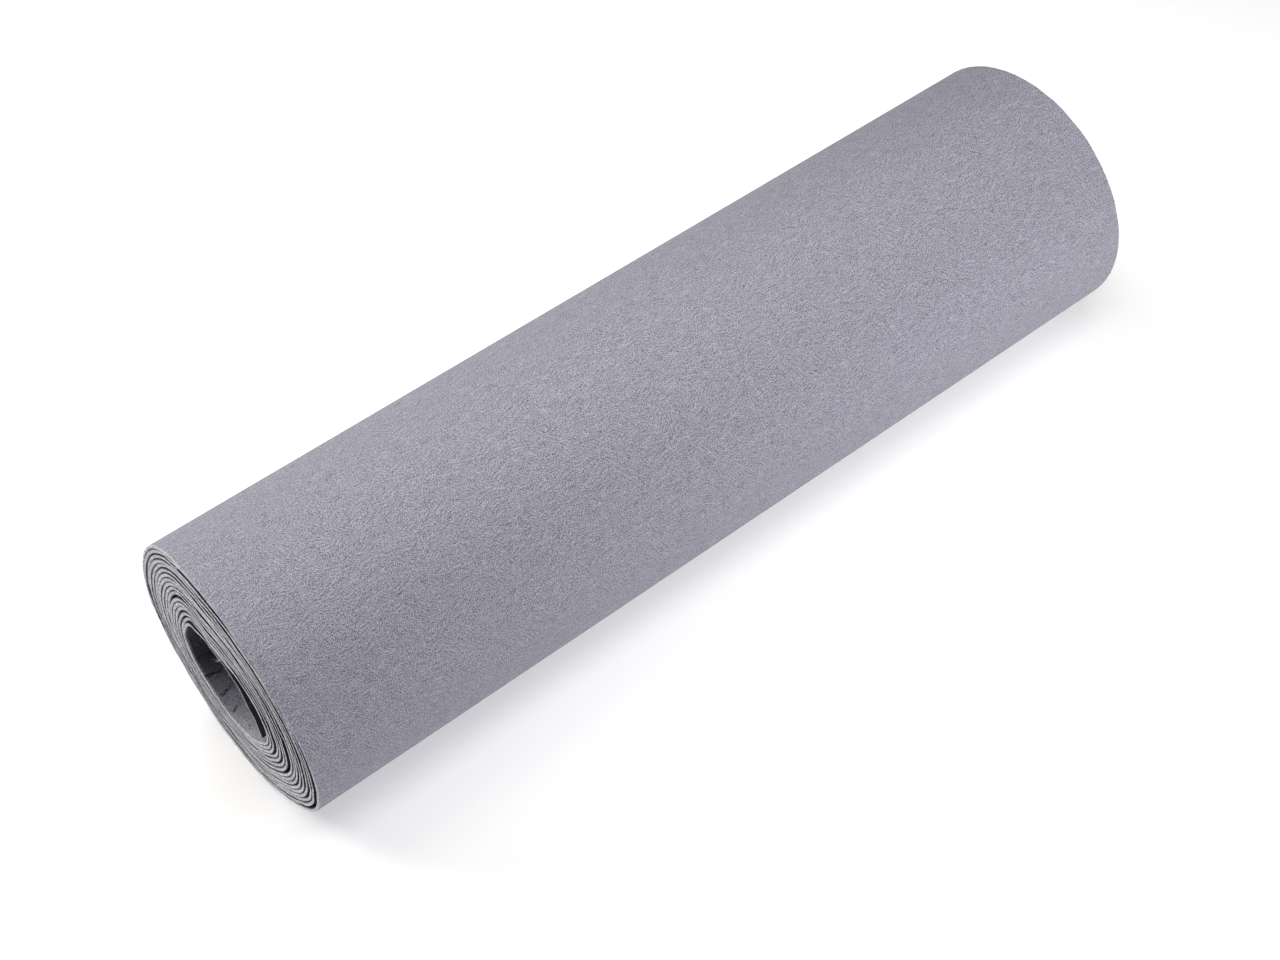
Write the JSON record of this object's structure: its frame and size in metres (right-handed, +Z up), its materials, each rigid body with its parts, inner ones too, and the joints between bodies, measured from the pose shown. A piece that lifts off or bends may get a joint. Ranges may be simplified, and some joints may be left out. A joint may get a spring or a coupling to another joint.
{
  "type": "roll of felt",
  "caption": "Long sheet of soft grey felt wound on itself into a cylinder with an open oval hollow, lying on its side ready to be cut from.",
  "frame": {"origin": "bottom centre of the roll's bounding box, on the surface that it rests on", "axes": "+X along the roll, away from the end that shows; +Y to the roll's back; +Z up"},
  "size_m": [0.41, 0.1152, 0.1114],
  "materials": {
    "felt": "matte, fine random fibres"
  },
  "bodies": {
    "root": {"felt_roll": "felt"}
  },
  "joints": []
}
